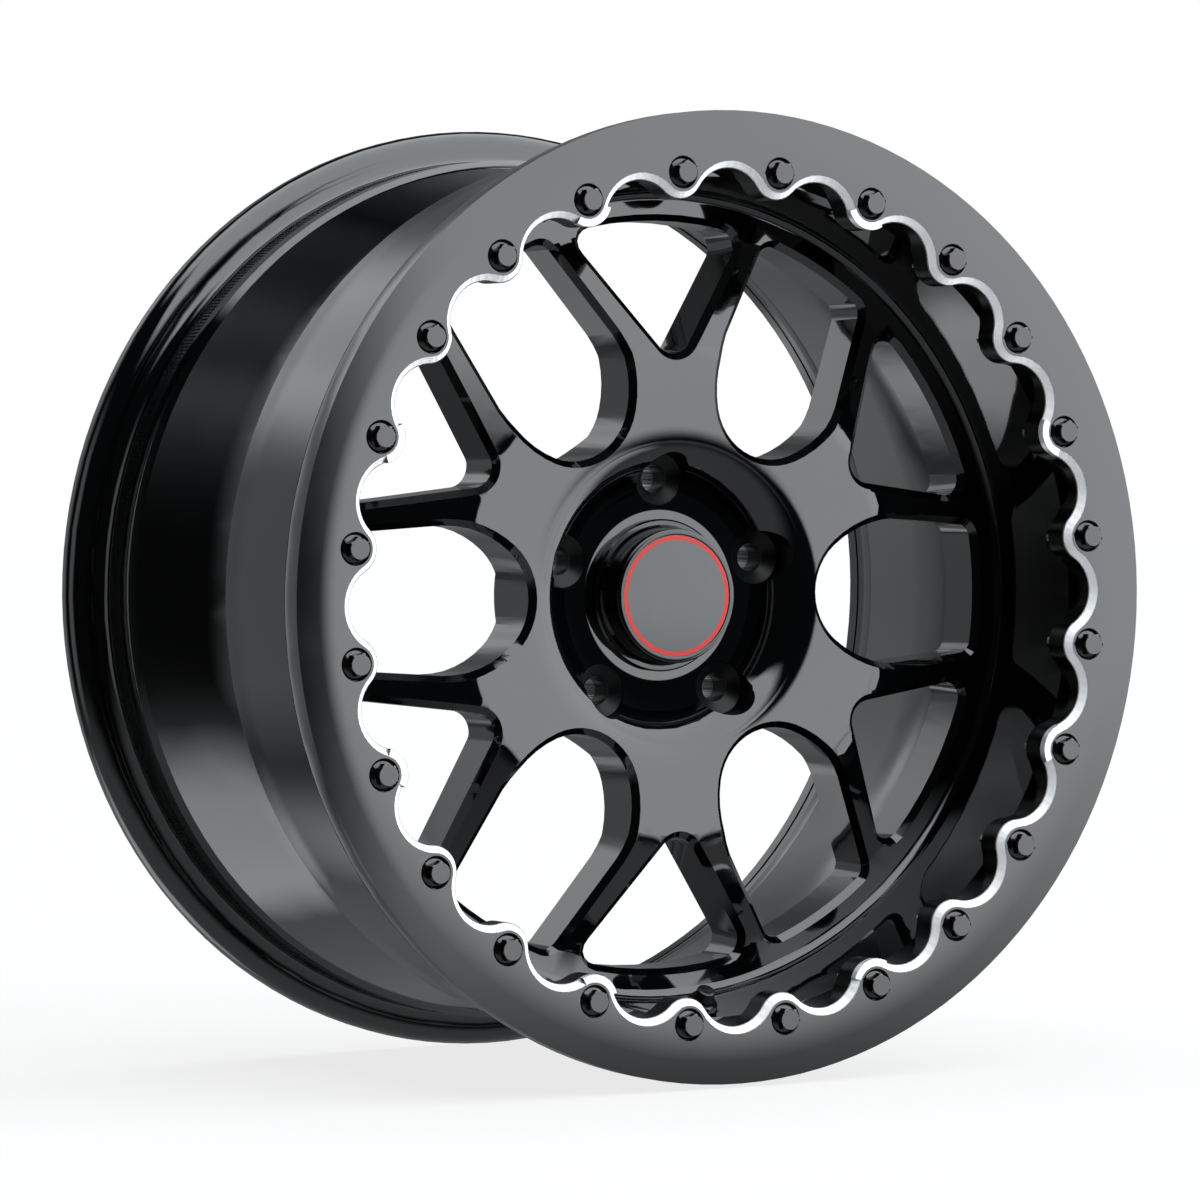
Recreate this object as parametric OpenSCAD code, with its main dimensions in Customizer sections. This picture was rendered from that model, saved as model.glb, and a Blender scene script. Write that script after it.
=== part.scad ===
// Beadlock car wheel: one cast body, a scalloped clamp ring on 24 bolts, a push-in centre cap
// and a clamp-in tyre valve. Lengths are in millimetres.
// Frame: +Y is the wheel's axis and points inboard, to the car. +Z is up. The origin is the
// centre of the hub's mounting face. The outboard face looks to -Y.
// Inside the modules, depth is measured along z from the clamp ring's front face.

/* [Rim] */
// Distance between the two tyre bead faces
rim_width = 228.6; // [222.25:6.35:234.95]
// Distance of the mounting face from the rim's middle, outboard of it
wheel_offset = 30; // [27:1:33]
// Bead seat radius at the inboard flange
bead_seat_r = 218.3; // [217.8:0.1:218.6]
// Height of the inboard flange above the bead seat
flange_height = 17.2; // [16.4:0.2:18]
// Width of the inboard flange, from its bead face to its back face
flange_width = 16.4; // [15.4:0.2:17.4]
// Radius of the round top of the inboard flange
flange_top_r = 9.5; // [8.5:0.5:9.5]
// Fall of the plain band between hump and drop well, below the bead seat
band_fall = 0.7; // [0.4:0.1:1.1]
// Distance from the outboard bead face to the drop well's front edge
well_start = 91.9; // [88:0.4:95.2]
// Fall of the drop well below the bead seat
well_fall = 15.8; // [14.3:0.5:17.3]
// Wall thickness of the barrel behind the spokes
barrel_wall = 4.5; // [4:0.25:5.5]

/* [Front lip] */
// Wall from the lip's inside to the bead seat, at the front
lip_front_wall = 15.5; // [15.1:0.2:16.3]
// Wall from the lip's inside to the bead seat, at the spokes
lip_back_wall = 19.9; // [19.3:0.2:20.7]
// Depth of the ledge that joins lip and spokes
ledge_depth = 71.6; // [70:0.2:74]
// Fillet between ledge and lip
ledge_fillet = 5; // [3:0.5:6]
// Depth of the ledge behind the scalloped pad
pad_back_depth = 16; // [14.5:0.5:17]

/* [Clamp ring] */
// Height of the clamp ring above the bead seat
ring_height = 15.7; // [13.7:0.5:17.7]
// Thickness of the clamp ring at its bolts
ring_seat = 10; // [9:0.5:11]
// Depth of the clamp ring's bead face
ring_bead_depth = 18.5; // [17:0.5:20]
// Fall of the ring's tapered rear edge
ring_taper = 2.4; // [2:0.2:4]
// Number of ring bolts and scallops
bolt_count = 24; // [20:4:24]
// Distance of the bolt circle inside the bead seat
bolt_inset = 12.7; // [12.1:0.2:13.1]
// Radius of each lobe round its bolt, at the front face
lobe_r = 9; // [8.6:0.1:9.4]
// Height of the valley bottoms between the lobes, beyond the bolt circle
valley_rise = 4.3; // [3.4:0.1:5]
// Width of the bright bevel along the scallops
scallop_bevel = 3.7; // [2.5:0.1:4.2]
// Fall of the ring's front face at its outer edge
crown_fall = 0.5; // [0:0.1:1]
// Radial play between ring recess and rim
ring_play = 0.15; // [0.1:0.05:0.3]

/* [Ring bolts] */
// Thread size of the ring bolts
bolt_d = 6; // [5:0.5:6]
// Length of the ring bolts under the head
bolt_length = 20; // [16:1:22]
// Width across flats of the bolt head
bolt_af = 10; // [8:0.5:10]
// Radius of the bolt's flange
bolt_flange_r = 7.1; // [6:0.1:7.2]
// Height of the bolt head with its flange
bolt_head_h = 6.4; // [5.6:0.2:6.6]
// Radius of the counterbore in the ring
counterbore_r = 7.6; // [7.5:0.1:7.8]
// Depth of the counterbore
counterbore_depth = 6; // [5:0.25:6.5]
// Radial play of the bolt in the ring
bolt_play = 0.3; // [0.2:0.05:0.4]
// Depth of thread beyond the bolt's end
thread_spare = 2; // [1:0.5:3]

/* [Spokes] */
// Number of forked spokes
spoke_count = 6; // [6:1:6]
// Depth of the spoke face at the hub
face_hub_depth = 55.4; // [54:0.2:57]
// Depth of the spoke face where it bends back
face_bend_depth = 54.2; // [53:0.2:56]
// Radius at which the face bends back
face_bend_r = 121; // [117:1:124]
// Depth of the spokes from face to back
spoke_thickness = 29; // [26:0.5:31]
// Width of the 45 degree bevel round the front of each window
window_bevel = 3.2; // [2:0.2:3.6]
// Distance from the windows' outer edge to the lip
window_margin = 14.9; // [14.4:0.5:17.4]
// Distance of the wide window's inner end from the axis
wide_inner_r = 80.9; // [80:0.1:82]
// Radius of the wide window's inner end
wide_end_r = 30.4; // [29:0.2:31.6]
// Half of the wide window's greatest width
wide_half = 36; // [35:0.25:36.5]
// Narrowing of the wide window's sides, in degrees
wide_taper = 4; // [3:0.25:5]
// Corner radius of the wide window
wide_corner = 7; // [6:0.5:9]
// Distance of the narrow window's inner end from the axis
narrow_inner_r = 118.2; // [116:0.2:120]
// Radius of the narrow window's inner end
narrow_end_r = 10.4; // [8:0.2:11]
// Half angle of the narrow window, in degrees
narrow_half_angle = 37; // [36:0.25:37.5]
// Corner radius of the narrow window
narrow_corner = 8; // [6:0.5:9]

/* [Hub] */
// Circle of the wheel studs
stud_circle = 114.3; // [114.3:0.1:115]
// Number of stud holes
stud_count = 5; // [5:1:5]
// Radius of the stud holes
stud_hole_r = 7.25; // [6.5:0.05:7.5]
// Radius of the nut pockets
nut_pocket_r = 13.2; // [12.5:0.1:13.6]
// Depth of the nut pockets
nut_pocket_depth = 83; // [80:0.5:85]
// Radius of the hub's centring bore
centre_bore_r = 38.05; // [36:0.05:39]
// Length of the centring bore
centre_bore_length = 9; // [8:0.5:10]
// Radius of the relief in front of it, where the cap's clips snap in
clip_relief_r = 35.5; // [34.5:0.5:36]
// Length of the clip relief
clip_relief_length = 5; // [5:0.25:6]
// Radius of the mounting pad
pad_r = 76; // [74:0.5:77]
// Depth of the floor round the cap
floor_depth = 73; // [71:0.5:74]
// Radius of the round shoulder between face and bowl
shoulder_r = 10; // [8:0.5:11]
// Radius of the hollow between shoulder and floor
bowl_r = 16; // [12:0.5:17]

/* [Centre cap] */
// Radius of the cap's front
cap_r = 33; // [32.5:0.1:33.4]
// Depth of the cap's front face
cap_depth = 55.7; // [54:0.1:58]
// Radius of the cap's foot
cap_foot_r = 37.4; // [36:0.2:38]
// Height of the cap's foot
cap_foot_h = 3; // [2:0.25:4]
// Radius of the cap's face disc
disc_r = 29.65; // [28:0.05:30]
// Thickness of the face disc
disc_h = 1.2; // [0.8:0.1:1.6]
// Radius of the hole that takes the cap
cap_hole_r = 31.5; // [31:0.1:32]
// Wall of the cap
cap_wall = 2.4; // [1.8:0.1:2.8]
// Play of the cap's skirt in its hole
cap_play = 0.2; // [0.1:0.05:0.3]
// Number of clips on the skirt
clip_count = 8; // [6:1:10]
// Radius of the clip wire
wire_r = 0.8; // [0.6:0.1:1]

/* [Tyre valve] */
// Depth of the valve's tip
valve_tip_depth = 29.5; // [28:0.5:31]
// Distance of the valve's tip from the lip
valve_gap = 7.4; // [6.4:0.5:8.4]
// Tilt of the valve from the radius, in degrees
valve_tilt = 35; // [33:1:37]
// Radius of the valve stem
stem_r = 4; // [3.8:0.1:4.2]
// Play of the stem in its hole
stem_play = 0.3; // [0.2:0.05:0.5]
// Radius of the valve cap
valve_cap_r = 4.9; // [4.7:0.1:5.4]
// Length of the valve cap
valve_cap_h = 5.1; // [4.6:0.1:5.3]
// Width across flats of the valve nut
valve_nut_af = 13; // [12:0.5:14]
// Thickness of the valve nut
valve_nut_h = 3.2; // [2.8:0.1:3.4]
// Travel of the valve pin
pin_travel = 1; // [0.8:0.1:1.2]
// Radius of the valve pin
pin_r = 0.6; // [0.5:0.05:0.7]
// Play of the valve pin in its core
pin_play = 0.08; // [0.06:0.01:0.1]

/* [Hidden] */
$fn = 48;

// Depth of the mounting face behind the clamp ring's front face
mount_depth = ring_bead_depth + rim_width / 2 - wheel_offset;
// Depth of the inboard bead face
inner_bead_depth = ring_bead_depth + rim_width;
// Outside radius of the inboard flange
flange_r = bead_seat_r + flange_height;
// Radii that follow from the bead seat
front_band_r = bead_seat_r - band_fall;
well_edge_r = bead_seat_r + 0.1;
well_edge_depth = ring_bead_depth + well_start;
well_r = bead_seat_r - well_fall;
lip_front_r = bead_seat_r - lip_front_wall;
lip_back_r = bead_seat_r - lip_back_wall;
ring_r = bead_seat_r + ring_height;
ring_rear_r = ring_r - ring_taper;
bolt_circle_r = bead_seat_r - bolt_inset;
valley_bottom_r = bolt_circle_r + valley_rise;
window_outer_r = lip_back_r - window_margin;
valve_tip_r = lip_back_r - valve_gap;
// Angle between ring bolts
bolt_step = 360 / bolt_count;
// Depth of the shoulder that the cap's clips snap behind
clip_step = mount_depth - centre_bore_length - clip_relief_length;

// Front of the spoke disc, from the hub's shoulder over the bend to the ledge
face_end_r = window_outer_r - 2.5;
face_line = [[pad_r, face_hub_depth], [face_bend_r - 4, face_bend_depth],
             [face_bend_r, face_bend_depth + 0.25], [face_bend_r + 4, face_bend_depth + 1.35],
             [face_end_r, ledge_depth]];

// Scallops: lobe arcs round the bolts meet valley arcs between them
bolt_x = bolt_circle_r * cos(bolt_step / 2);
bolt_y = bolt_circle_r * sin(bolt_step / 2);
lobe_fall = bolt_x - valley_bottom_r;
valley_r = (pow(lobe_fall, 2) + pow(bolt_y, 2) - pow(lobe_r, 2)) / (2 * (lobe_r - lobe_fall));
valley_x = valley_bottom_r - valley_r;
span = norm([bolt_x - valley_x, bolt_y]);
arc_overlap = 0.08;

// Points on an arc in a section, from angle a to angle b
function arc(cx, cy, r, a, b, n = 8) = [for (i = [0:n]) [cx + r * cos(a + (b - a) * i / n),
                                                         cy + r * sin(a + (b - a) * i / n)]];

// Wheel axis: depth z to the part's Y, with the origin on the mounting face
module on_axis() {
  rotate([-90, 0, 0])
    translate([0, 0, -mount_depth])
      children();
}

// A place at an angle seen from outboard, counted from +X towards +Z
module at_angle(a) {
  rotate([0, 0, -a])
    children();
}

module around(count, first = 0) {
  for (i = [0:count - 1])
    at_angle(first + 360 / count * i)
      children();
}

// Section of barrel, ledge, spoke disc and hub, as one turned shape
module body_section() {
  bead = inner_bead_depth;
  back = bead + flange_width;
  top_z = bead + flange_top_r;
  top_r = flange_r - flange_top_r;
  lip = lip_back_r;
  fil = ledge_fillet;
  bowl_z = floor_depth - bowl_r;
  wall_x = pad_r - shoulder_r;
  polygon(concat(
    [[cap_hole_r, floor_depth]],
    arc(wall_x - bowl_r, bowl_z, bowl_r, 90, 20, 8),
    arc(pad_r, face_hub_depth + shoulder_r, shoulder_r, 200, 270, 9),
    [for (i = [1:4]) face_line[i]],
    arc(lip - fil, ledge_depth - fil, fil, 90, 0, 8),
    [[lip_front_r, pad_back_depth],
     [bead_seat_r, pad_back_depth],
     [bead_seat_r, ring_bead_depth],
     [bead_seat_r - 1.7, ring_bead_depth + 19.5],
     [front_band_r, ring_bead_depth + 24.5],
     [front_band_r, well_edge_depth - 18]],
    arc(well_edge_r - 2, well_edge_depth - 2, 2, 0, 70, 5),
    arc(well_r + 4, well_edge_depth + 10, 4, 250, 180, 5),
    [[well_r, well_edge_depth + 28],
     [bead_seat_r - 1.9, bead - 33],
     [bead_seat_r + 0.8, bead - 29.5],
     [bead_seat_r + 0.8, bead - 21],
     [bead_seat_r + 0.3, bead - 20.3],
     [bead_seat_r + 0.1, bead - 6.5]],
    arc(bead_seat_r + 6.6, bead - 6.5, 6.5, 180, 90, 6),
    arc(top_r, top_z, flange_top_r, 270, 360, 8),
    [[flange_r, top_z + 0.2]],
    arc(flange_r - 4, back - 4, 4, 20, 90, 6),
    [[bead_seat_r + 9.7, back],
     [bead_seat_r + 8.7, back - 1],
     [bead_seat_r + 3.2, bead + 5],
     [bead_seat_r - 3.8, bead - 5.3],
     [bead_seat_r - 3.8, bead - 12],
     [bead_seat_r - 3.3, bead - 12.5],
     [bead_seat_r - 3.3, bead - 18],
     [bead_seat_r - 4, bead - 18.8],
     [bead_seat_r - 5.3, bead - 26.5],
     [bead_seat_r - 5.3, bead - 29.2],
     [bead_seat_r - 6.3, bead - 30.1],
     [well_r - barrel_wall, well_edge_depth + 28],
     [well_r - barrel_wall - 0.4, well_edge_depth + 13],
     [lip, well_edge_depth + 3],
     [lip, ledge_depth + spoke_thickness + 2],
     [window_outer_r + 3, ledge_depth + spoke_thickness],
     [face_bend_r, face_bend_depth + spoke_thickness],
     [pad_r + 8, face_hub_depth + spoke_thickness + 3],
     [pad_r, mount_depth],
     [cap_hole_r, mount_depth]]));
}

// Everything inside the scallop line, with straight walls below the bevel
module scallop_void(z0, z1) {
  h = z1 - z0;
  lobe = lobe_r + scallop_bevel;
  valley = valley_r - scallop_bevel + arc_overlap;
  meet = norm([bolt_x - lobe * (bolt_x - valley_x) / span, bolt_y * (1 - lobe / span)]);
  translate([0, 0, z0]) {
    difference() {
      cylinder(h = h, r = meet);
      around(bolt_count, bolt_step / 2)
        translate([bolt_circle_r, 0, -1])
          cylinder(h = h + 2, r = lobe);
    }
    around(bolt_count)
      translate([valley_x, 0, 0])
        cylinder(h = h, r = valley);
  }
}

// Bevel of the ring's front edge: one turned cut for each lobe and each valley
module scallop_bevels() {
  b = scallop_bevel;
  aim = atan2(bolt_y, bolt_x - valley_x);
  around(bolt_count)
    translate([valley_x, 0, 0])
      rotate([0, 0, -aim])
        rotate_extrude(angle = 2 * aim)
          polygon([[valley_r + 1, -1], [valley_r - b, b], [valley_r - b - 1, b],
                   [valley_r - b - 1, -1]]);
  turn = 180 - aim + bolt_step / 2;
  around(bolt_count, bolt_step / 2)
    translate([bolt_circle_r, 0, 0])
      rotate([0, 0, turn])
        rotate_extrude(angle = 360 - 2 * turn)
          polygon([[lobe_r - 1, -1], [lobe_r + b, b], [lobe_r + b + 1, b],
                   [lobe_r + b + 1, -1]]);
}

// Scalloped pad that the clamp ring seats on
module ring_pad() {
  difference() {
    translate([0, 0, ring_seat])
      cylinder(h = pad_back_depth - ring_seat + 0.5, r = bead_seat_r);
    scallop_void(ring_seat - 1, pad_back_depth + 1);
  }
}

// Small boss behind each lobe for the bolt's thread
module thread_boss() {
  end = counterbore_depth + bolt_length + thread_spare;
  translate([bolt_circle_r, 0, pad_back_depth - 1])
    cylinder(h = end + 3 - pad_back_depth, r = bolt_d / 2 + 2);
  translate([bolt_circle_r, 0, end + 2])
    cylinder(h = 4, r1 = bolt_d / 2 + 2, r2 = bolt_d / 2 - 1);
}

module thread_hole() {
  translate([bolt_circle_r, 0, ring_seat - 1])
    cylinder(h = counterbore_depth + bolt_length + thread_spare - ring_seat + 1, r = bolt_d / 2);
}

// Centre of the corner arc that ends a straight side. The side starts at p, runs at the plan
// angle a, and the arc of radius c meets it and the windows' outer edge
function corner_centre(p, a, c) =
  let (q = [p[0] + c * sin(a), p[1] - c * cos(a)], d = [cos(a), sin(a)], qd = q * d)
  q + d * (sqrt(qd * qd - q * q + pow(window_outer_r - c, 2)) - qd);

// Upper half of a window's end: corner arc, then the outer edge up to the middle
function end_half(k, a, c, g) =
  let (half = atan2(k[1], k[0]))
  concat(arc(k[0], k[1], c + g, 90 + a, half, 5),
         [for (i = [1:3]) (window_outer_r + g) * [cos(half * (1 - i / 3)), sin(half * (1 - i / 3))]]);

// Whole outline from its upper half, which starts and ends on the middle line
function whole(h) = concat(h, [for (i = [len(h) - 2:-1:1]) [h[i][0], -h[i][1]]]);

// Outline of the wide rounded window on the +X axis, grown by g
function wide_outline(g) =
  let (c1 = wide_inner_r + wide_end_r, phi = 50,
       k = (wide_half - wide_end_r) / (1 - sin(phi)),
       c2 = [c1 + k * cos(phi), -k * sin(phi)],
       corner = corner_centre([c2[0], wide_half], -wide_taper, wide_corner))
  whole(concat(arc(c1, 0, wide_end_r + g, 180, 180 - phi, 6),
               [for (i = [1:6]) c2 + (wide_end_r + k + g) * [cos(130 - 40 * i / 6), sin(130 - 40 * i / 6)]],
               end_half(corner, -wide_taper, wide_corner, g)));

// Outline of the narrow forked window on the +X axis, grown by g
function narrow_outline(g) =
  let (a = narrow_half_angle, centre = narrow_inner_r + narrow_end_r,
       start = [centre - narrow_end_r * sin(a), narrow_end_r * cos(a)],
       corner = corner_centre(start, a, narrow_corner))
  whole(concat(arc(centre, 0, narrow_end_r + g, 180, 90 + a, 6),
               end_half(corner, a, narrow_corner, g)));

// Cut of one window: straight walls that open to a 45 degree bevel at the disc's front. The
// grown edge lies on the front face, and the cut runs on past it
module window_hole(inner, edge, past) {
  n = len(inner);
  front = [for (p = edge) lookup(norm(p), face_line)];
  points = concat(
    [for (p = inner) [p[0], p[1], mount_depth + 30]],
    [for (i = [0:n - 1]) [inner[i][0], inner[i][1], front[i] + window_bevel]],
    [for (i = [0:n - 1]) [past[i][0], past[i][1], front[i] - 1]],
    [for (p = past) [p[0], p[1], face_bend_depth - 8]]);
  sides = [for (k = [0:2]) for (i = [0:n - 1]) for (t = [0, 1])
             let (j = (i + 1) % n, a = k * n)
             t == 0 ? [a + i, a + n + i, a + n + j] : [a + i, a + n + j, a + j]];
  polyhedron(points, concat([[for (i = [0:n - 1]) i]], sides,
                            [[for (i = [0:n - 1]) 4 * n - 1 - i]]));
}

// Nut pocket with its cone seat and stud hole
module stud_hole() {
  translate([stud_circle / 2, 0, 0]) {
    cylinder(h = mount_depth + 20, r = stud_hole_r);
    translate([0, 0, face_hub_depth - 20])
      cylinder(h = nut_pocket_depth + 20 - face_hub_depth, r = nut_pocket_r);
    translate([0, 0, nut_pocket_depth - 0.01])
      cylinder(h = (nut_pocket_r - 2.2 - stud_hole_r) / tan(30), r1 = nut_pocket_r - 2.2,
               r2 = stud_hole_r);
  }
}

// Shallow weight pocket in the mounting pad between two studs
module pad_pocket() {
  translate([stud_circle / 2 + 2, 0, mount_depth - 9])
    cylinder(h = 10, r = 12);
}

module wheel_body() {
  color("#16171a")
    on_axis()
      difference() {
        union() {
          rotate_extrude()
            body_section();
          ring_pad();
          around(bolt_count, bolt_step / 2)
            thread_boss();
        }
        around(spoke_count)
          window_hole(wide_outline(0), wide_outline(window_bevel), wide_outline(window_bevel + 1));
        around(spoke_count, 180 / spoke_count)
          window_hole(narrow_outline(0), narrow_outline(window_bevel),
                      narrow_outline(window_bevel + 1));
        around(stud_count, 90)
          stud_hole();
        around(stud_count, 90 + 180 / stud_count)
          pad_pocket();
        translate([0, 0, mount_depth - centre_bore_length])
          cylinder(h = centre_bore_length + 1, r = centre_bore_r);
        translate([0, 0, clip_step])
          cylinder(h = clip_relief_length + 1, r = clip_relief_r);
        around(bolt_count, bolt_step / 2)
          thread_hole();
        valve_hole();
      }
}

// Clamp ring: it seats on the pad and holds the outer tyre bead against the rim
module clamp_ring() {
  recess_r = bead_seat_r + ring_play;
  inside_r = bolt_circle_r - 3 * lobe_r;
  color("#1b1c1f")
    on_axis()
      difference() {
        rotate_extrude()
          polygon(concat(
            [[inside_r, 0], [bead_seat_r, 0], [bead_seat_r + ring_height * 0.4, crown_fall * 0.2],
             [bead_seat_r + ring_height * 0.7, crown_fall * 0.6], [ring_r - 1, crown_fall],
             [ring_r, crown_fall + 1], [ring_r, ring_seat],
             [ring_rear_r + 0.5, ring_bead_depth - 0.7]],
            arc(ring_rear_r - 0.6, ring_bead_depth - 1, 1, 20, 90, 4),
            [[recess_r + 0.8, ring_bead_depth], [recess_r, ring_bead_depth - 0.8],
             [recess_r, ring_seat], [inside_r, ring_seat]]));
        scallop_void(-1, ring_seat + 1);
        scallop_bevels();
        around(bolt_count, bolt_step / 2)
          translate([bolt_circle_r, 0, 0]) {
            translate([0, 0, -1])
              cylinder(h = counterbore_depth + 1, r = counterbore_r);
            translate([0, 0, -1])
              cylinder(h = 1.35, r1 = counterbore_r + 1.35, r2 = counterbore_r);
            cylinder(h = ring_seat + 1, r = bolt_d / 2 + bolt_play);
          }
      }
}

// Hexagon head bolt with a flange, seated in its counterbore
module ring_bolt() {
  flange_h = 1.6;
  translate([bolt_circle_r, 0, counterbore_depth]) {
    cylinder(h = bolt_length - 0.8, r = bolt_d / 2);
    translate([0, 0, bolt_length - 0.8])
      cylinder(h = 0.8, r1 = bolt_d / 2, r2 = bolt_d / 2 - 0.8);
    translate([0, 0, -0.9])
      cylinder(h = 0.9, r = bolt_flange_r);
    translate([0, 0, -flange_h - 0.6])
      cylinder(h = flange_h - 0.3, r1 = bolt_flange_r - 1.8, r2 = bolt_flange_r);
    intersection() {
      translate([0, 0, -bolt_head_h])
        cylinder(h = bolt_head_h, r = bolt_af / 2 / cos(30), $fn = 6);
      translate([0, 0, -bolt_head_h])
        cylinder(h = bolt_head_h, r1 = bolt_af / 2 - 0.35, r2 = bolt_af / 2 + bolt_head_h * 1.2);
    }
  }
}

module ring_bolts() {
  color("#0f1012")
    on_axis()
      around(bolt_count, bolt_step / 2)
        ring_bolt();
}

// Centre cap with a skirt of clips and a recess for its face disc
module cap_shell() {
  skirt_r = cap_hole_r - cap_play;
  step = clip_step;
  rim = cap_depth + disc_h + 0.1;
  end = step + clip_relief_length - 0.4;
  color("#131417")
    on_axis()
      difference() {
        rotate_extrude()
          polygon([[0, rim], [disc_r + 0.1, rim], [disc_r + 0.1, cap_depth + 0.15],
                   [disc_r + 0.6, cap_depth], [cap_r - 1.4, cap_depth], [cap_r - 0.4, cap_depth + 0.4],
                   [cap_r, cap_depth + 1.4], [cap_r + 0.4, floor_depth - cap_foot_h - 2],
                   [cap_r + 1.6, floor_depth - cap_foot_h],
                   [cap_foot_r - 0.8, floor_depth - cap_foot_h],
                   [cap_foot_r, floor_depth - cap_foot_h + 0.8], [cap_foot_r, floor_depth],
                   [skirt_r, floor_depth], [skirt_r, step + 0.3], [skirt_r + 1, step + 1.6],
                   [skirt_r + 1, step + 2.4], [skirt_r - 0.6, end],
                   [skirt_r - cap_wall, end], [skirt_r - cap_wall, rim + cap_wall],
                   [0, rim + cap_wall]]);
        for (i = [0:clip_count - 1])
          rotate([0, 0, 360 / clip_count * i])
            translate([20, -1.5, floor_depth + 3])
              cube([20, 3, 40]);
        translate([0, 0, end - 3.2])
          rotate_extrude()
            translate([skirt_r - cap_wall, 0])
              circle(r = wire_r, $fn = 24);
      }
}

module cap_disc() {
  color("#4b4d50")
    on_axis()
      translate([0, 0, cap_depth + 0.1])
        cylinder(h = disc_h, r = disc_r);
}

// Open spring wire that presses the clips outward
module cap_wire() {
  r = cap_hole_r - cap_play - cap_wall;
  color("#8a8d90")
    on_axis()
      translate([0, 0, clip_step + clip_relief_length - 3.6])
        rotate([0, 0, 102])
          rotate_extrude(angle = 336)
            translate([r, 0])
              circle(r = wire_r, $fn = 24);
}

// Own axis of the tyre valve, at the bottom of the wheel: z runs from the tip to the tyre side
module on_valve() {
  at_angle(270)
    translate([valve_tip_r, 0, valve_tip_depth])
      rotate([0, 90 - valve_tilt, 0])
        children();
}

nut_face = 9.6;
seat_face = 27.2;

// Stem hole with a flat for the nut inside and one for the seal outside
module valve_hole() {
  on_valve() {
    translate([0, 0, -5])
      cylinder(h = 60, r = stem_r + stem_play);
    translate([0, 0, -4])
      cylinder(h = nut_face + 4, r = 9);
    translate([0, 0, seat_face])
      cylinder(h = 16, r = 7.6);
  }
}

module valve_stem() {
  thread_r = 2.6;
  bore = 1.9;
  head = seat_face + 1.6;
  color("#a58b4f")
    on_axis()
      on_valve()
        rotate_extrude()
          polygon([[bore, 1.6], [thread_r, 1.6], [thread_r, 5], [stem_r, 5.8], [stem_r, head],
                   [6.4, head], [6.4, head + 2], [5.4, head + 3], [bore, head + 3]]);
}

module valve_seal() {
  color("#111111")
    on_axis()
      on_valve()
        translate([0, 0, seat_face])
          difference() {
            cylinder(h = 1.6, r = 6.8);
            translate([0, 0, -1])
              cylinder(h = 4, r = stem_r);
          }
}

module valve_washer() {
  color("#6d7074")
    on_axis()
      on_valve()
        translate([0, 0, nut_face - 0.8])
          difference() {
            cylinder(h = 0.8, r = 8);
            translate([0, 0, -1])
              cylinder(h = 3, r = stem_r + 0.2);
          }
}

module valve_nut() {
  color("#141517")
    on_axis()
      on_valve()
        translate([0, 0, nut_face - 0.8 - valve_nut_h])
          difference() {
            intersection() {
              cylinder(h = valve_nut_h, r = valve_nut_af / 2 / cos(30), $fn = 6);
              cylinder(h = valve_nut_h, r1 = valve_nut_af / 2, r2 = valve_nut_af / 2 + valve_nut_h * 1.5);
            }
            translate([0, 0, -1])
              cylinder(h = valve_nut_h + 2, r = stem_r);
          }
}

// Core: a sleeve inside the stem that guides the pin
module valve_core() {
  color("#c2a45c")
    on_axis()
      on_valve()
        rotate_extrude()
          polygon([[pin_r + pin_play, 3], [1.9, 3], [1.9, 14], [pin_r + pin_play, 14]]);
}

// Pin with its valve plate; it moves towards the tyre when pressed
module valve_pin() {
  color("#d8c58c")
    on_axis()
      on_valve()
        rotate_extrude()
          polygon([[0, 2.8 - pin_travel], [pin_r, 2.8 - pin_travel], [pin_r, 14.1], [1.5, 14.1],
                   [1.5, 16], [0, 16]]);
}

module valve_cap() {
  color("#0c0d0f")
    on_axis()
      on_valve()
        rotate_extrude()
          polygon([[0, 0.5], [0, -0.5], [valve_cap_r - 1.6, -0.5], [valve_cap_r - 0.6, 0],
                   [valve_cap_r - 0.3, 0.8], [valve_cap_r, valve_cap_h - 0.5],
                   [2.6, valve_cap_h - 0.5], [2.6, 1.3], [1.4, 0.5]]);
}

wheel_body();
clamp_ring();
ring_bolts();
cap_shell();
cap_disc();
cap_wire();
valve_stem();
valve_seal();
valve_washer();
valve_nut();
valve_core();
valve_pin();
valve_cap();
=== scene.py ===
import bpy
import math
import numpy as np
from mathutils import Matrix, Vector


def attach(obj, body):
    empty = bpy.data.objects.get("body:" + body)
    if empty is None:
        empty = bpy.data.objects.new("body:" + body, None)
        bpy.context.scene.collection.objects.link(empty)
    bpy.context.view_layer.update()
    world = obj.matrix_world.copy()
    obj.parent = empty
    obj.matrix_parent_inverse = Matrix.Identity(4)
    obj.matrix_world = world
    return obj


# Finish of the beadlock wheel: paints, polished scallop bevel, knurled bead seat, printed ring
# on the cap, forms that the solids lack, camera, floor and studio world. Metres, in the part's
# frame: +Y inboard, +Z up.

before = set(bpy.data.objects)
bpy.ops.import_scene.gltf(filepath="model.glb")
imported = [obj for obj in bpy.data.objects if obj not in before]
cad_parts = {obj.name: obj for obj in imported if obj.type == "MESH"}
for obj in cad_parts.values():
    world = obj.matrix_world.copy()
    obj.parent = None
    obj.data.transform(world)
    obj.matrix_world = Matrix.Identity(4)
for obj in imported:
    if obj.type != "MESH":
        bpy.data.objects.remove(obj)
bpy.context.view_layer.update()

MM = 0.001

# Sizes of the part that the looks follow, in millimetres
MOUNT = 102.8  # depth of the mounting face behind the clamp ring's front face
BEVEL_DEPTH = 3.7  # depth of the scallops' bevel
BOLT_CIRCLE, BOLTS = 205.6, 24
STUD_CIRCLE, STUDS = 57.15, 5
POCKET = 13.3  # just outside a nut pocket's wall
FLOOR_DEPTH = 73.0  # depth of the bowl's floor
FACE_DEPTH = 55.4  # depth of the flat spoke face at the hub

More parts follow.
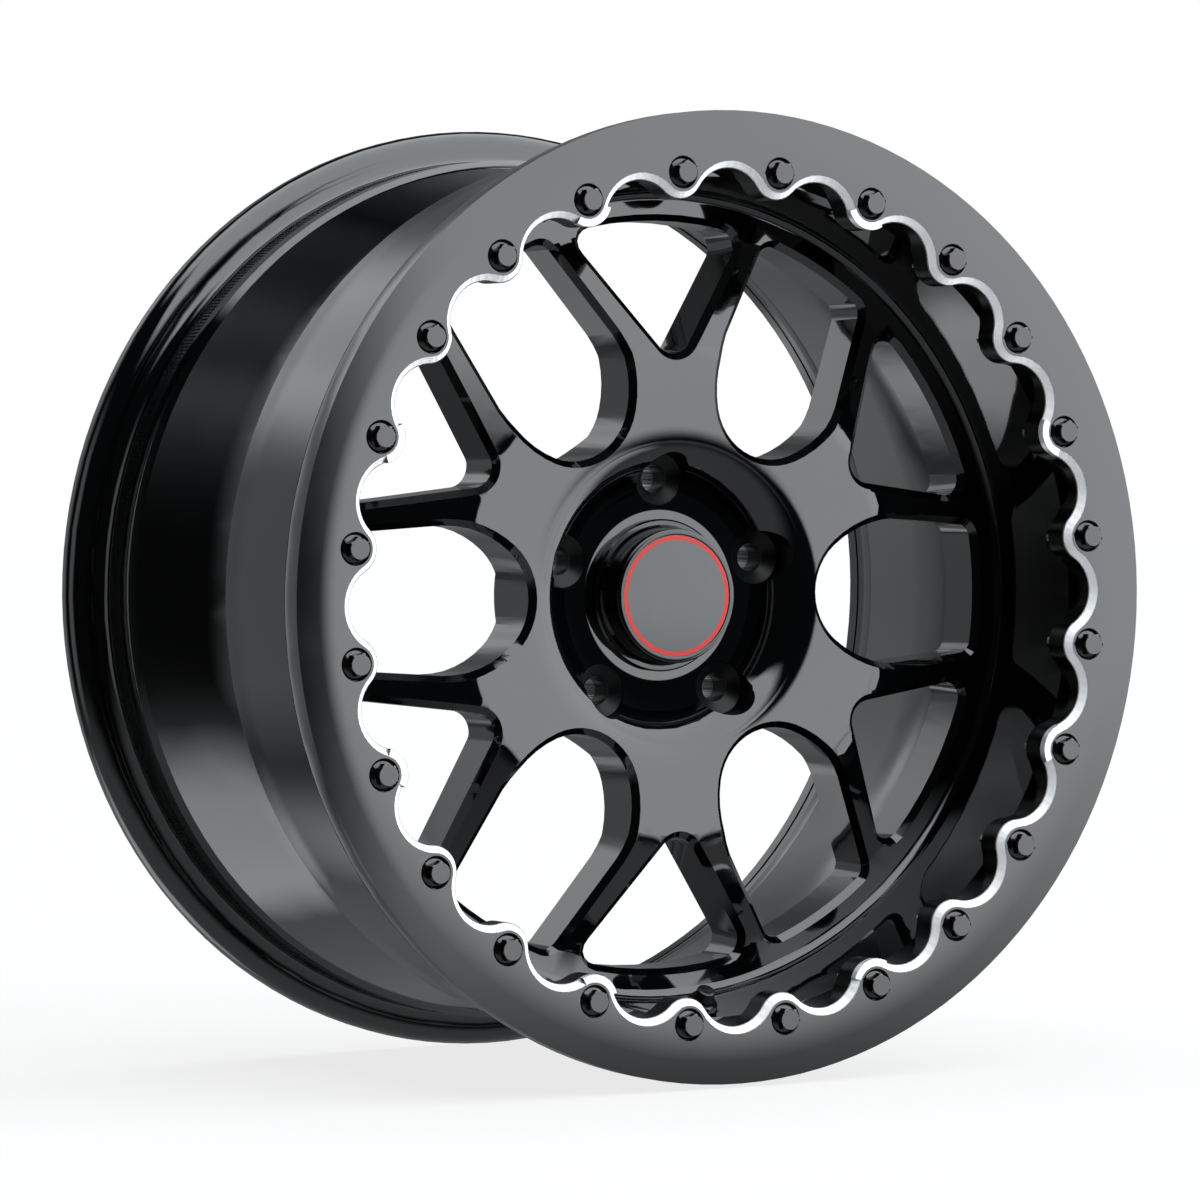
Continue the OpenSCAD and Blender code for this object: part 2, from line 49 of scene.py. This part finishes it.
SMOOTH_LIMIT = 24  # facets that meet at less than this, in degrees, are shaded as one
DOME = 1.2  # curvature of the cap disc's clear dome, 1 over metres

# The bowl's shoulder is shaded as a round of this radius that ends at this radius of the wheel
SHOULDER_START, SHOULDER_ROUND = 79.0, 22.0

# Rolled look of the bevel: its width in metres, the slopes of its two parts, and where they meet
BEVEL_WIDTH, BEVEL_LEAN, BEVEL_TURN_IN, BEVEL_BREAK = 0.0052, 0.72, 0.3, 0.86


# Small helpers for shader nodes

def new_material(name):
    mat = bpy.data.materials.new(name)
    mat.use_nodes = True
    nt = mat.node_tree
    return mat, nt, nt.nodes["Principled BSDF"]


def math_node(nt, op, a, b=0.5, c=0.5):
    node = nt.nodes.new("ShaderNodeMath")
    node.operation = op
    for socket, value in zip(node.inputs, (a, b, c)):
        if isinstance(value, (int, float)):
            socket.default_value = value
        else:
            nt.links.new(value, socket)
    return node.outputs[0]


def remap(nt, source, from_low, from_high, low, high, kind="LINEAR"):
    node = nt.nodes.new("ShaderNodeMapRange")
    node.interpolation_type = kind
    nt.links.new(source, node.inputs["Value"])
    node.inputs["From Min"].default_value = from_low
    node.inputs["From Max"].default_value = from_high
    node.inputs["To Min"].default_value = low
    node.inputs["To Max"].default_value = high
    return node.outputs["Result"]


def smooth(nt, source, low, high):
    return remap(nt, source, low, high, 0.0, 1.0, "SMOOTHSTEP")


def object_xyz(nt):
    coord = nt.nodes.new("ShaderNodeTexCoord")
    split = nt.nodes.new("ShaderNodeSeparateXYZ")
    nt.links.new(coord.outputs["Object"], split.inputs["Vector"])
    return coord.outputs["Object"], split.outputs


def noise(nt, scale, detail=3.0):
    vector, _ = object_xyz(nt)
    tex = nt.nodes.new("ShaderNodeTexNoise")
    tex.inputs["Scale"].default_value = scale
    tex.inputs["Detail"].default_value = detail
    nt.links.new(vector, tex.inputs["Vector"])
    return tex.outputs["Fac"]


def blend(nt, factor, a, b):
    mix = nt.nodes.new("ShaderNodeMix")
    mix.data_type = "RGBA"
    mix.clamp_factor = True
    sockets = [s for s in mix.inputs if s.type == "RGBA"]
    for socket, value in zip(sockets, (a, b)):
        if isinstance(value, tuple):
            socket.default_value = (*value, 1)
        else:
            nt.links.new(value, socket)
    nt.links.new(factor, mix.inputs["Factor"])
    return [s for s in mix.outputs if s.type == "RGBA"][0]


def bump(nt, bsdf, height, strength, distance, base=None):
    node = nt.nodes.new("ShaderNodeBump")
    node.inputs["Strength"].default_value = strength
    node.inputs["Distance"].default_value = distance
    nt.links.new(height, node.inputs["Height"])
    if base is not None:
        nt.links.new(base, node.inputs["Normal"])
    nt.links.new(node.outputs["Normal"], bsdf.inputs["Normal"])
    return node.outputs["Normal"]


def finish(name, a, b, rough, metallic=0.0, ior=1.5, scale=60.0, grain=0.05, depth=0.00002):
    mat, nt, bsdf = new_material(name)
    cloud = noise(nt, scale)
    nt.links.new(blend(nt, remap(nt, cloud, 0.35, 0.65, 0, 1), a, b), bsdf.inputs["Base Color"])
    nt.links.new(remap(nt, cloud, 0.3, 0.7, rough[0], rough[1]), bsdf.inputs["Roughness"])
    bsdf.inputs["Metallic"].default_value = metallic
    bsdf.inputs["IOR"].default_value = ior
    bump(nt, bsdf, noise(nt, scale * 8, 2.0), grain, depth)
    return mat


BLACK_A, BLACK_B = (0.0009, 0.0011, 0.0014), (0.0015, 0.0018, 0.0022)
paint = finish("gloss_black_paint", BLACK_A, BLACK_B, (0.035, 0.055), ior=1.8, scale=22,
               grain=0.04, depth=0.00001)
ring_paint = finish("ring_black_paint", BLACK_A, BLACK_B, (0.05, 0.075), ior=1.8, scale=30,
                    grain=0.05, depth=0.00001)
bolt_steel = finish("black_bolt_steel", (0.003, 0.003, 0.0034), (0.006, 0.006, 0.0066),
                    (0.08, 0.12), ior=1.75, scale=300, grain=0.06)
cap_plastic = finish("cap_black_plastic", BLACK_A, BLACK_B, (0.07, 0.11), ior=1.7, scale=120)
brass = finish("valve_brass", (0.45, 0.33, 0.14), (0.55, 0.42, 0.2), (0.25, 0.4), 1.0, scale=400)
spring = finish("spring_steel", (0.4, 0.4, 0.4), (0.55, 0.55, 0.55), (0.25, 0.4), 1.0, scale=400)
rubber = finish("seal_rubber", (0.008, 0.008, 0.008), (0.015, 0.015, 0.015), (0.6, 0.8),
                scale=500, grain=0.2)
valve_metal = finish("valve_black_metal", (0.004, 0.004, 0.005), (0.008, 0.008, 0.009),
                     (0.15, 0.25), ior=1.7, scale=300)
valve_plastic = finish("valve_cap_plastic", (0.003, 0.003, 0.0035), (0.006, 0.006, 0.0066),
                       (0.25, 0.4), scale=400)


def polished_material():
    """Bare cut aluminium of the scallop bevel, with fine cutter marks. Its colour is painted dark
    grey at both edges and pale metal in the middle: painted shade at the edges and a painted
    highlight band along the middle.
    """
    mat, nt, bsdf = new_material("polished_bevel")
    _, xyz = object_xyz(nt)
    cloud = noise(nt, 120, 4.0)
    # depth across the bevel, 0 at the front edge and 1 at its inner edge
    t = remap(nt, xyz["Y"], -MOUNT * MM, (-MOUNT + BEVEL_DEPTH) * MM, 0.0, 1.0)
    # painted shade and highlight: dark grey at both edges of the bevel, pale metal in a band along
    # its middle
    middle = math_node(nt, "SINE", math_node(nt, "MULTIPLY", t, math.pi))
    bright = blend(nt, cloud, (0.93, 0.94, 0.95), (0.98, 0.98, 0.98))
    nt.links.new(blend(nt, smooth(nt, middle, 0.0, 0.45), (0.30, 0.31, 0.32), bright),
                 bsdf.inputs["Base Color"])
    bsdf.inputs["Metallic"].default_value = 0.6
    nt.links.new(remap(nt, cloud, 0.3, 0.7, 0.34, 0.42), bsdf.inputs["Roughness"])
    # rolled edge: most of its width leans to the front, and the rest turns in
    lean = math_node(nt, "MULTIPLY", t, BEVEL_WIDTH * BEVEL_LEAN)
    turn_in = math_node(nt, "ADD", math_node(nt, "MULTIPLY", t, -BEVEL_WIDTH * BEVEL_TURN_IN),
                        BEVEL_WIDTH * (BEVEL_LEAN + BEVEL_TURN_IN) * BEVEL_BREAK)
    rolled = bump(nt, bsdf, math_node(nt, "MINIMUM", lean, turn_in), 1.0, 1.0)
    bump(nt, bsdf, noise(nt, 900, 2.0), 0.2, 0.00003, base=rolled)
    return mat


def radius_of(nt):
    """Square of the distance from the wheel's axis and the distance itself, in metres."""
    _, xyz = object_xyz(nt)
    square = math_node(nt, "ADD", math_node(nt, "POWER", xyz["X"], 2.0),
                       math_node(nt, "POWER", xyz["Z"], 2.0))
    return square, math_node(nt, "SQRT", square)


def turned_paint(name, parts, rough, scale):
    """Gloss black paint over a slightly turned form. Each part (start, end, slope at start, slope
    at end) changes the height by radius, in metres, and slopes are falls to the outside."""
    mat = finish(name, BLACK_A, BLACK_B, rough, ior=1.8, scale=scale, grain=0.04, depth=0.00001)
    nt = mat.node_tree
    bsdf = nt.nodes["Principled BSDF"]
    grain = bsdf.inputs["Normal"].links[0].from_node
    _, r = radius_of(nt)
    total = None
    for start, end, slope_a, slope_b in parts:
        width = end - start
        u = remap(nt, r, start, end, 0.0, 1.0)
        fall = math_node(nt, "MULTIPLY", u, slope_a * width)
        bend = math_node(nt, "MULTIPLY", math_node(nt, "POWER", u, 2.0),
                         (slope_b - slope_a) * width / 2)
        drop = math_node(nt, "ADD", fall, bend)
        total = drop if total is None else math_node(nt, "ADD", total, drop)
    height = math_node(nt, "MULTIPLY", total, -1.0)
    node = nt.nodes.new("ShaderNodeBump")
    node.inputs["Strength"].default_value = 1.0
    node.inputs["Distance"].default_value = 1.0
    nt.links.new(height, node.inputs["Height"])
    nt.links.new(node.outputs["Normal"], grain.inputs["Normal"])
    return mat


def disc_material():
    """Dark glossy disc of the cap with its printed red ring. The print's middle is left bare."""
    mat, nt, bsdf = new_material("cap_disc_grey")
    square, r = radius_of(nt)
    inner = smooth(nt, r, 0.0272, 0.0274)
    outer = math_node(nt, "SUBTRACT", 1.0, smooth(nt, r, 0.0294, 0.0296))
    mask = math_node(nt, "MULTIPLY", inner, outer)
    cloud = noise(nt, 150)
    ground = blend(nt, cloud, (0.012, 0.0125, 0.0135), (0.016, 0.0165, 0.0175))
    red = blend(nt, cloud, (0.66, 0.016, 0.010), (0.74, 0.022, 0.014))
    nt.links.new(blend(nt, mask, ground, red), bsdf.inputs["Base Color"])
    nt.links.new(remap(nt, cloud, 0.3, 0.7, 0.08, 0.12), bsdf.inputs["Roughness"])
    bsdf.inputs["IOR"].default_value = 1.75
    nt.links.new(remap(nt, mask, 0.0, 1.0, 0.5, 0.2), bsdf.inputs["Specular IOR Level"])
    dome = bump(nt, bsdf, math_node(nt, "MULTIPLY", square, -DOME / 2), 1.0, 1.0)
    bump(nt, bsdf, noise(nt, 1500, 2.0), 0.04, 0.00002, base=dome)
    return mat


def knurl_material():
    """Painted bead seat with the fine cross ribs that keep the tyre from slipping."""
    mat, nt, bsdf = new_material("knurled_seat")
    _, xyz = object_xyz(nt)
    cloud = noise(nt, 40)
    nt.links.new(blend(nt, cloud, BLACK_A, BLACK_B), bsdf.inputs["Base Color"])
    nt.links.new(remap(nt, cloud, 0.3, 0.7, 0.12, 0.2), bsdf.inputs["Roughness"])
    bsdf.inputs["IOR"].default_value = 1.8
    turn = math_node(nt, "ARCTAN2", xyz["Z"], xyz["X"])
    ribs = math_node(nt, "SINE", math_node(nt, "MULTIPLY", turn, 640.0))
    bump(nt, bsdf, ribs, 1.0, 0.0005)
    return mat


# Bores, walls and nut pocket seats: the same black, rougher and with far less reflection than the
# faces, which paints shade into these recesses
wall_paint = finish("wall_black_paint", BLACK_A, BLACK_B, (0.22, 0.3), ior=1.13, scale=40)
pocket_paint = finish("pocket_black_paint", (0.002, 0.0022, 0.0026), (0.003, 0.0032, 0.0036),
                      (0.3, 0.4), ior=1.36, scale=60)
face_paint = turned_paint("spoke_face_paint", [(0.0745, 0.083, -0.14, 0.0)],
                          (0.035, 0.055), 22)
crown_paint = turned_paint("ring_front_paint", [(0.207, 0.223, 0.0, 0.047),
                                                (0.223, 0.236, 0.047, 0.05)], (0.05, 0.075), 30)


def floor_material():
    """Bowl floor: a gloss land round the cap, and outside it a ring whose reflection is all but
    taken away, painted shade that renders it black.
    """
    mat = finish("bowl_floor_paint", BLACK_A, BLACK_B, (0.035, 0.055), ior=1.8, scale=22,
                 grain=0.04, depth=0.00001)
    nt = mat.node_tree
    _, r = radius_of(nt)
    # painted shade: past a radius of 41.6 mm the reflection falls to almost nothing, so the floor
    # there renders black
    level = remap(nt, r, 0.0416, 0.042, 0.5, 0.003)
    nt.links.new(level, nt.nodes["Principled BSDF"].inputs["Specular IOR Level"])
    return mat


# Materials of each node, in the order of the slots that are given to its faces below
KNURL, FLOOR, FACE, WALL, POCKET_WALL = 1, 2, 3, 4, 5
BEVEL, CROWN, SCALLOP_WALL = 1, 2, 3
NODE_LOOK = {
    "wheel_body": [paint, knurl_material(), floor_material(), face_paint, wall_paint,
                   pocket_paint],
    "clamp_ring": [ring_paint, polished_material(), crown_paint, wall_paint],
    "ring_bolts": [bolt_steel], "cap_shell": [cap_plastic], "cap_disc": [disc_material()],
    "cap_wire": [spring], "valve_stem": [brass], "valve_seal": [rubber],
    "valve_washer": [valve_metal], "valve_nut": [valve_metal], "valve_core": [brass],
    "valve_pin": [brass], "valve_cap": [valve_plastic],
}


def face_arrays(mesh):
    """Centres and normals of all faces, and radius and depth of each centre in millimetres."""
    n = len(mesh.polygons)
    centre = np.zeros(n * 3, np.float32)
    normal = np.zeros(n * 3, np.float32)
    mesh.polygons.foreach_get("center", centre)
    mesh.polygons.foreach_get("normal", normal)
    centre, normal = centre.reshape(-1, 3), normal.reshape(-1, 3)
    radius = np.hypot(centre[:, 0], centre[:, 2]) * 1000
    depth = centre[:, 1] * 1000 + MOUNT
    return centre, normal, radius, depth


def smooth_normals(mesh, limit_deg, fixed=None):
    """Shades facets that meet at less than the limit as one round surface. No vertex moves.
    fixed is a pair: a mask of faces, and what gives the normals at points of those faces."""
    n = len(mesh.vertices)
    co = np.zeros(n * 3)
    mesh.vertices.foreach_get("co", co)
    key = np.round(co.reshape(-1, 3) * 2e5).astype(np.int64)
    _, group = np.unique(key, axis=0, return_inverse=True)
    group = group.ravel()
    loops = len(mesh.loops)
    vert = np.zeros(loops, np.int32)
    mesh.loops.foreach_get("vertex_index", vert)
    total = np.zeros(len(mesh.polygons), np.int32)
    mesh.polygons.foreach_get("loop_total", total)
    face = np.repeat(np.arange(len(mesh.polygons)), total)
    area = np.zeros(len(mesh.polygons))
    mesh.polygons.foreach_get("area", area)
    normal = np.zeros(len(mesh.polygons) * 3)
    mesh.polygons.foreach_get("normal", normal)
    normal = normal.reshape(-1, 3)
    order = np.argsort(group[vert], kind="stable")
    bounds = np.flatnonzero(np.diff(group[vert][order])) + 1
    out = normal[face].copy()
    cos_limit = math.cos(math.radians(limit_deg))
    for cluster in np.split(order, bounds):
        if len(cluster) < 2:
            continue
        fn = normal[face[cluster]]
        weight = area[face[cluster]]
        near = (fn @ fn.T) > cos_limit
        total_n = (near * weight[None, :]) @ fn
        length = np.linalg.norm(total_n, axis=1, keepdims=True)
        out[cluster] = np.where(length > 1e-12, total_n / np.maximum(length, 1e-12), fn)
    if fixed is not None:
        held = fixed[0][face]
        out[held] = fixed[1](co.reshape(-1, 3)[vert[held]])
    mesh.normals_split_custom_set(out.astype(np.float32).tolist())


def circle_points(radius_mm, count, first_deg):
    """Angle, X and Z of places spread evenly round the wheel's axis, in millimetres."""
    for i in range(count):
        a = math.radians(first_deg + 360 / count * i)
        yield a, radius_mm * math.cos(a), radius_mm * math.sin(a)


for name, mats in NODE_LOOK.items():
    mesh = bpy.data.objects[name].data
    mesh.materials.clear()
    for mat in mats:
        mesh.materials.append(mat)
    mesh.polygons.foreach_set("material_index", np.zeros(len(mesh.polygons), np.int32))

body = bpy.data.objects["wheel_body"].data
centre, normal, radius, depth = face_arrays(body)
slot = np.zeros(len(body.polygons), np.int32)
slot[(depth > 227.5) & (depth < 240.5) & (radius > 216.5) & (radius < 220)] = KNURL
slot[(abs(depth - FLOOR_DEPTH) < 0.1) & (radius < 52) & (normal[:, 1] < -0.99)] = FLOOR
slot[(abs(depth - FACE_DEPTH) < 0.3) & (normal[:, 1] < -0.99) & (radius < 120)] = FACE
# painted shade: the lip's walls get the wall paint with little reflection
slot[(depth > 9.5) & (depth < 16.5) & (radius < 217.5) & (abs(normal[:, 1]) < 0.3)] = WALL
from_stud = np.full(len(slot), 99.0)
for _, x, z in circle_points(STUD_CIRCLE, STUDS, 90):
    gap = np.hypot(centre[:, 0] * 1000 - x, centre[:, 2] * 1000 - z)
    from_stud = np.minimum(from_stud, gap)
outside = from_stud > POCKET
# painted shade: the nut pockets' walls get the pocket paint with little reflection
slot[~outside & (depth > 56) & (depth < 95)] = POCKET_WALL
# painted shade: the bowl's corner round the floor also gets the floor paint whose reflection is all
# but taken away
slot[(radius > 50) & (radius < 57.6) & (depth > 66) & (depth < 73.2) & outside] = FLOOR
body.polygons.foreach_set("material_index", slot)


def shoulder_normals(points):
    """Normals of the bowl's wide round shoulder, which leans in more and more towards the floor."""
    r = np.maximum(np.hypot(points[:, 0], points[:, 2]), 1e-6)
    lean = np.arcsin(np.clip((SHOULDER_START - r * 1000) / SHOULDER_ROUND, 0, 0.97))
    lean = np.maximum(lean, 0.0)
    return np.stack([-np.sin(lean) * points[:, 0] / r, -np.cos(lean),
                     -np.sin(lean) * points[:, 2] / r], axis=1)


shoulder = (radius > 57) & (radius < 76.05) & (depth > 55) & (depth < 73.2) & outside
shoulder &= normal[:, 1] < -0.05
smooth_normals(body, SMOOTH_LIMIT, (shoulder, shoulder_normals))

ring = bpy.data.objects["clamp_ring"].data
centre, normal, radius, depth = face_arrays(ring)
bevel = (depth < BEVEL_DEPTH + 0.05) & (radius < 216)
bevel &= (normal[:, 1] < -0.5) & (normal[:, 1] > -0.9)
step = math.radians(360 / BOLTS)
turn = np.arctan2(centre[:, 2], centre[:, 0]) - step / 2
nearest = np.round(turn / step) * step + step / 2
bx, bz = BOLT_CIRCLE * np.cos(nearest), BOLT_CIRCLE * np.sin(nearest)
to_bolt = np.hypot(centre[:, 0] * 1000 - bx, centre[:, 2] * 1000 - bz)
bevel &= to_bolt > 8.4
front = (normal[:, 1] < -0.99) & (depth < 1.2)
front |= (radius > 232.9) & (depth < 1.7) & (normal[:, 1] < -0.5)
slot = np.zeros(len(ring.polygons), np.int32)
slot[front] = CROWN
# painted shade: the scallop walls get the wall paint with little reflection
slot[(abs(normal[:, 1]) < 0.3) & (radius < 217) & (depth > 3) & (to_bolt > 8.95)] = SCALLOP_WALL
slot[bevel] = BEVEL
ring.polygons.foreach_set("material_index", slot)
smooth_normals(ring, SMOOTH_LIMIT,
               (front, lambda points: np.tile([0.0, -1.0, 0.0], (len(points), 1))))
for name in ("cap_shell", "cap_wire", "valve_stem", "valve_cap", "cap_disc"):
    smooth_normals(bpy.data.objects[name].data, SMOOTH_LIMIT)

# Forms that the solids lack: standing hexagon heads of the ring's bolts, the polished edge of
# the lobes without a bevel, and the seats and bores in the nut pockets


def at(cx, cz, r, a, depth_mm):
    """Point at radius r and angle a round a place of the front, all in millimetres, to metres."""
    return ((cx + r * math.cos(a)) * MM, (depth_mm - MOUNT) * MM, (cz + r * math.sin(a)) * MM)


def round_form(rings):
    """Points and faces of a closed band through rings of points. Each ring has as many points."""
    count = len(rings[0])
    points = [p for r in rings for p in r]
    faces = []
    for k in range(len(rings) - 1):
        for i in range(count):
            j = (i + 1) % count
            faces.append((k * count + i, (k + 1) * count + i, (k + 1) * count + j, k * count + j))
    return points, faces


def circle(cx, cz, r, depth_mm, count):
    return [at(cx, cz, r, 2 * math.pi * k / count, depth_mm) for k in range(count)]


def add_form(name, pieces, mat, limit_deg=SMOOTH_LIMIT):
    """One mesh made of several pieces, with one material, which rides the wheel."""
    points, faces = [], []
    for p, f in pieces:
        base = len(points)
        points += p
        faces += [tuple(base + i for i in q) for q in f]
    mesh = bpy.data.meshes.new(name)
    mesh.from_pydata(points, [], faces)
    mesh.materials.append(mat)
    smooth_normals(mesh, limit_deg)
    obj = bpy.data.objects.new(name, mesh)
    bpy.context.scene.collection.objects.link(obj)
    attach(obj, "wheel")


HEX = 5.0  # half of the width across a bolt head's flats, mm
HEAD = ((-4.9, 0.0), (-4.9, 4.85), (-4.45, 5.78), (0.3, 5.78))  # depth and greatest radius
FLANGE = ((0.1, 5.0), (0.3, 5.9), (1.1, 7.0), (1.5, 7.35), (2.4, 7.4), (4.5, 7.4))
SIDES = 48
heads = []
for i, (_, cx, cz) in enumerate(circle_points(BOLT_CIRCLE, BOLTS, 7.5)):
    spin = math.radians(17 + 37 * i)
    rings = []
    for depth_mm, limit in HEAD:
        row = []
        for k in range(SIDES):
            a = 2 * math.pi * k / SIDES
            flat = HEX / math.cos((a + math.pi / 6) % (math.pi / 3) - math.pi / 6)
            row.append(at(cx, cz, min(flat, limit), a + spin, depth_mm))
        rings.append(row)
    heads.append(round_form(rings))
    heads.append(round_form([circle(cx, cz, r, depth_mm, SIDES) for depth_mm, r in FLANGE]))
add_form("bolt_heads_standing", heads, bolt_steel, limit_deg=30)

# Polished edge of the lobes that have no bevel in the solids: every third one
lobe_edge = finish("polished_lobe_edge", (0.9, 0.91, 0.92), (0.98, 0.98, 0.98), (0.34, 0.42),
                   metallic=0.6, scale=120, grain=0.2, depth=0.00003)
LOBE_HALF = math.radians(51.1)  # half of a lobe's arc, up to where the valleys begin
LOBE_EDGE = ((-0.03, 9.0), (-0.03, 12.55), (0.15, 12.75), (BEVEL_DEPTH, 12.75))
ARC = 49  # points along a lobe's arc
edges = []
for a0, cx, cz in circle_points(BOLT_CIRCLE, BOLTS // 3, 22.5):
    points, faces = [], []
    for depth_mm, r in LOBE_EDGE:
        points += [at(cx, cz, r, a0 + math.pi + LOBE_HALF * (k / (ARC // 2) - 1), depth_mm)
                   for k in range(ARC)]
    for k in range(len(LOBE_EDGE) - 1):
        low, high = k * ARC, (k + 1) * ARC
        faces += [(low + j, high + j, high + j + 1, low + j + 1) for j in range(ARC - 1)]
    edges.append((points, faces))
add_form("polished_lobe_edges", edges, lobe_edge)

SEAT = ((73.6, 13.15), (74.2, 12.4), (75.4, 10.4), (77.4, 7.0), (77.8, 7.0))
BORE = ((77.8, 7.0), (90.5, 7.0))
seats, bores = [], []
for _, cx, cz in circle_points(STUD_CIRCLE, STUDS, 90):
    for pieces, profile in ((seats, SEAT), (bores, BORE)):
        pieces.append(round_form([circle(cx, cz, r, depth_mm, 64) for depth_mm, r in profile]))
# painted shade: the seats and bores get the paints with little reflection
add_form("pocket_seats", seats, pocket_paint)
add_form("pocket_bores", bores, wall_paint)

# Camera at the photograph's place, with a focal length in pixels of a frame 1200 pixels wide

FOCAL, FRAME = 6100, 1200
yaw, pitch, roll = math.radians(29.31), math.radians(1.56), math.radians(-0.43)
fwd = Vector((math.sin(yaw) * math.cos(pitch), math.cos(yaw) * math.cos(pitch), -math.sin(pitch)))
right = Vector((math.cos(yaw), -math.sin(yaw), 0))
up = right.cross(fwd)
side = math.cos(roll) * right + math.sin(roll) * up
top = -math.sin(roll) * right + math.cos(roll) * up
cam_data = bpy.data.cameras.new("camera")
cam_data.sensor_width = 36
cam_data.lens = cam_data.sensor_width * FOCAL / FRAME
cam_data.clip_end = 50
cam = bpy.data.objects.new("camera", cam_data)
bpy.context.scene.collection.objects.link(cam)
place = Matrix((side, top, -fwd)).transposed().to_4x4()
place.translation = Vector((-1.4895, -2.52105 - MOUNT * MM, 0.0793))
cam.matrix_world = place
bpy.context.scene.camera = cam

# Floor: white with a faint shadow for the camera; the world below the horizon lights the rest

FLOOR_HALF, FLOOR_Z = 12.0, -0.2358
corners = ((-1, -1), (1, -1), (1, 1), (-1, 1))
floor_mesh = bpy.data.meshes.new("floor")
floor_mesh.from_pydata([(x * FLOOR_HALF, y * FLOOR_HALF, FLOOR_Z) for x, y in corners], [],
                       [(0, 1, 2, 3)])
floor = bpy.data.objects.new("floor", floor_mesh)
bpy.context.scene.collection.objects.link(floor)
mat, nt, bsdf = new_material("floor_pale")
out = nt.nodes["Material Output"]
bsdf.inputs["Base Color"].default_value = (0.7, 0.7, 0.7, 1)
bsdf.inputs["Roughness"].default_value = 1.0
path = nt.nodes.new("ShaderNodeLightPath")


def mix_shader(tree, factor, a, b):
    node = tree.nodes.new("ShaderNodeMixShader")
    if isinstance(factor, float):
        node.inputs["Fac"].default_value = factor
    else:
        tree.links.new(factor, node.inputs["Fac"])
    tree.links.new(a, node.inputs[1])
    tree.links.new(b, node.inputs[2])
    return node.outputs["Shader"]


glow = nt.nodes.new("ShaderNodeEmission")
glow.inputs["Color"].default_value = (1, 1, 1, 1)
seen = mix_shader(nt, 0.2, glow.outputs["Emission"], bsdf.outputs["BSDF"])
clear = nt.nodes.new("ShaderNodeBsdfTransparent")
nt.links.new(mix_shader(nt, path.outputs["Is Camera Ray"], clear.outputs["BSDF"], seen),
             out.inputs["Surface"])
floor_mesh.materials.append(mat)

# Studio world: white behind the object for the camera, soft boxes round it for light

world = bpy.data.worlds.new("studio")
bpy.context.scene.world = world
world.use_nodes = True
wn = world.node_tree
wn.nodes.clear()
coord = wn.nodes.new("ShaderNodeTexCoord")
split = wn.nodes.new("ShaderNodeSeparateXYZ")
wn.links.new(coord.outputs["Generated"], split.inputs["Vector"])
azimuth = math_node(wn, "MULTIPLY", math_node(
    wn, "ARCTAN2", split.outputs["X"], math_node(wn, "MULTIPLY", split.outputs["Y"], -1.0)),
    180 / math.pi)
height = math_node(wn, "MULTIPLY", math_node(wn, "ARCSINE", split.outputs["Z"]), 180 / math.pi)


def soft_panel(centre_az, half, soft, el_low, soft_low, el_high, soft_high, level):
    """A soft box in directions: azimuth from -Y to +X and height above the floor, in degrees."""
    away = math_node(wn, "WRAP", math_node(wn, "SUBTRACT", azimuth, float(centre_az)),
                     180.0, -180.0)
    across = math_node(wn, "ABSOLUTE", away)
    m = math_node(wn, "SUBTRACT", 1.0, smooth(wn, across, half - soft, half + soft))
    m = math_node(wn, "MULTIPLY", m, smooth(wn, height, el_low - soft_low, el_low + soft_low))
    over = smooth(wn, height, el_high - soft_high, el_high + soft_high)
    m = math_node(wn, "MULTIPLY", m, math_node(wn, "SUBTRACT", 1.0, over))
    return math_node(wn, "MULTIPLY", m, float(level))


# Lower edge of the big overhead box: azimuth and height in degrees
edge = wn.nodes.new("ShaderNodeValToRGB")
stops = [(-180, 58), (-120, 56), (-60, 60), (-40, 50), (-30, 38), (-20, 29), (-10, 23), (5, 19),
         (20, 13), (60, 10), (80, 14), (110, 34), (130, 44), (150, 55), (180, 58)]
ramp = edge.color_ramp
while len(ramp.elements) < len(stops):
    ramp.elements.new(0.5)
for element, (a, e) in zip(ramp.elements, stops):
    element.position = (a + 180) / 360
    element.color = (e / 90, e / 90, e / 90, 1)
wn.links.new(remap(wn, azimuth, -180, 180, 0, 1), edge.inputs["Fac"])
low_edge = math_node(wn, "MULTIPLY", edge.outputs["Color"], 90.0)
over_edge = math_node(wn, "SUBTRACT", height, low_edge)
light = math_node(wn, "MULTIPLY", smooth(wn, over_edge, -4.0, 6.0), 2.65)
for level in (soft_panel(48, 25.4, 1.9, -8.0, 6.0, 89, 1, 2.6),
              soft_panel(58, 20, 4, -24.0, 8.0, 20, 4, 2.4)):
    light = math_node(wn, "MAXIMUM", light, level)
for level in (soft_panel(-170, 14, 7, 20, 4, 36, 8, 0.8),
              soft_panel(45, 12, 10, 2.0, 14.0, 20, 8, 0.45),
              soft_panel(-152, 20, 8, -62, 10.0, -26, 7, 1.5),
              soft_panel(-166, 24, 8, -18, 8.0, 33, 6, 0.35),
              soft_panel(-160, 9, 5, 17, 4.0, 24, 4, 0.5),
              soft_panel(-100, 14, 8, -25, 12.0, 30, 10, 0.6),
              soft_panel(165, 22, 10, -50, 12.0, 30, 10, 0.18)):
    light = math_node(wn, "ADD", light, level)
ground = remap(wn, height, -34.0, -12.0, 0.32, 0.0, "SMOOTHSTEP")
light = math_node(wn, "MAXIMUM", light, ground)
light = math_node(wn, "ADD", light, 0.012)

wpath = wn.nodes.new("ShaderNodeLightPath")
studio = wn.nodes.new("ShaderNodeBackground")
studio.inputs["Color"].default_value = (0.94, 0.975, 1.01, 1)
wn.links.new(light, studio.inputs["Strength"])
white = wn.nodes.new("ShaderNodeBackground")
white.inputs["Color"].default_value = (1, 1, 1, 1)
wout = wn.nodes.new("ShaderNodeOutputWorld")
wn.links.new(mix_shader(wn, wpath.outputs["Is Camera Ray"], studio.outputs["Background"],
                        white.outputs["Background"]), wout.inputs["Surface"])

scene = bpy.context.scene
scene.view_settings.view_transform = "Standard"
scene.view_settings.look = "None"
